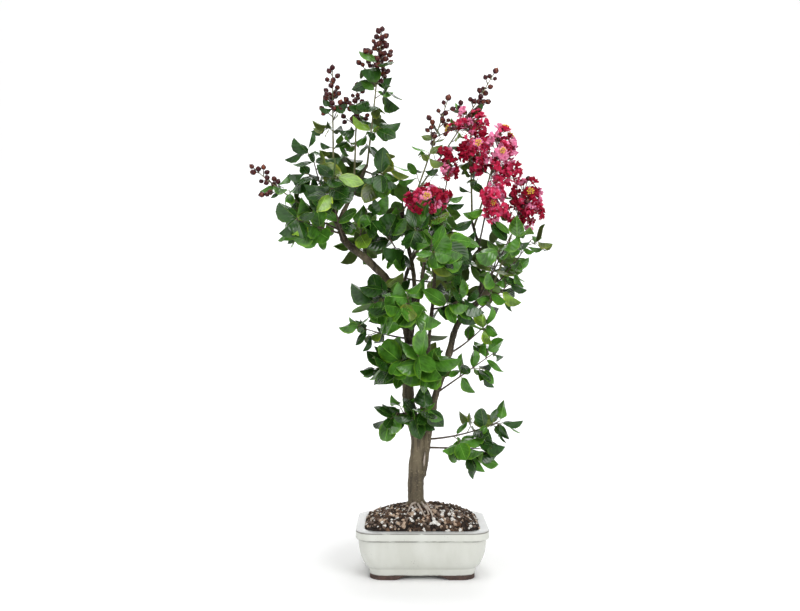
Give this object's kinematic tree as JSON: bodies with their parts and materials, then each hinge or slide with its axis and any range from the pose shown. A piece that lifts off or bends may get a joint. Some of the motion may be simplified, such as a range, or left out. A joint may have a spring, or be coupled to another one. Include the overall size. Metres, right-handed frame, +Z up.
{
  "type": "crape myrtle bonsai in a glazed pot",
  "caption": "Flowering crape myrtle bonsai with a slender trunk that forks, an open crown and crimson blossom, in a glazed ceramic pot.",
  "frame": {"origin": "on the ground, under the middle of the plant's bounding box", "axes": "+Z up the trunk, +X to the right and -Y towards the side that shows in the picture"},
  "size_m": [0.4718, 0.2762, 0.8639],
  "materials": {
    "glaze": "glossy ivory glaze with dark worn edges and brown unglazed feet",
    "soil": "dark bark mix with pale grit",
    "bark": "smooth grey-brown bark",
    "foliage": "glossy green leaves on thin twigs",
    "blossom": "crinkled crimson petals"
  },
  "bodies": {
    "root": {"pot": "glaze", "soil": "soil", "trunk": "bark", "left_bough": "bark", "leader_bough": "bark", "right_stem": "bark", "right_rise": "bark", "middle_stem": "bark", "centre_bough": "bark", "back_bough": "bark", "front_bough": "bark", "far_left_spray": "foliage", "left_low_front": "foliage", "left_low_back": "foliage", "left_upper": "foliage", "left_bud_shoot": "foliage", "third_shoot": "foliage", "top_leader": "foliage", "leader_side": "foliage", "left_heart": "foliage", "left_back": "foliage", "left_inner": "foliage", "back_left": "foliage", "top_right_shoot": "foliage", "middle_shoot": "foliage", "centre_blossom": "blossom", "centre_top": "foliage", "centre_top_back": "foliage", "centre_left": "foliage", "slender_shoot": "foliage", "high_blossom": "blossom", "main_blossom": "blossom", "column_blossom": "blossom", "right_blossom": "blossom", "centre_right": "foliage", "right_tip": "foliage", "right_upper": "foliage", "right_low": "foliage", "right_back": "foliage", "right_mid": "foliage", "right_inner": "foliage", "column_low_left": "foliage", "column_low": "foliage", "column_front": "foliage", "column_left": "foliage", "left_small": "foliage", "left_sprout": "foliage", "centre_low_left": "foliage", "low_branch": "foliage", "low_branch_front": "foliage", "back_low": "foliage", "back_mid": "foliage", "back_high": "foliage", "back_right": "foliage", "front_mid": "foliage", "front_high": "foliage", "front_right": "foliage"}
  },
  "joints": []
}
